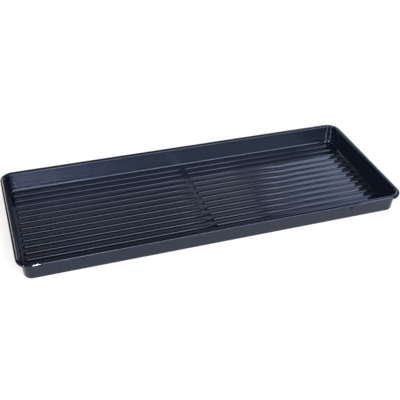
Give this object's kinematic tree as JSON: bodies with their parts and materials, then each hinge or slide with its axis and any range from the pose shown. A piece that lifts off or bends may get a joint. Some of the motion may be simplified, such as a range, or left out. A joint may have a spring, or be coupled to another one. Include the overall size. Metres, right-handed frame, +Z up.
{
  "type": "drip tray",
  "caption": "Long shallow rectangular drip tray with a ribbed floor and a turned-down rim, for standing plant pots or grow bags in.",
  "frame": {"origin": "on the ground under the middle of the tray", "axes": "+X along the tray's length, +Y across its width towards the back edge, +Z up"},
  "size_m": [1, 0.4, 0.055],
  "materials": {
    "tray_plastic": "glossy moulded black with a slate tint"
  },
  "bodies": {
    "root": {"floor_panel": "tray_plastic", "front_wall": "tray_plastic", "back_wall": "tray_plastic", "left_wall": "tray_plastic", "right_wall": "tray_plastic", "front_left_corner": "tray_plastic", "front_right_corner": "tray_plastic", "back_left_corner": "tray_plastic", "back_right_corner": "tray_plastic", "front_rim": "tray_plastic", "back_rim": "tray_plastic", "left_rim": "tray_plastic", "right_rim": "tray_plastic", "front_left_rim_corner": "tray_plastic", "front_right_rim_corner": "tray_plastic", "back_left_rim_corner": "tray_plastic", "back_right_rim_corner": "tray_plastic", "front_left_fin": "tray_plastic", "front_right_fin": "tray_plastic", "back_left_fin": "tray_plastic", "back_right_fin": "tray_plastic"}
  },
  "joints": []
}
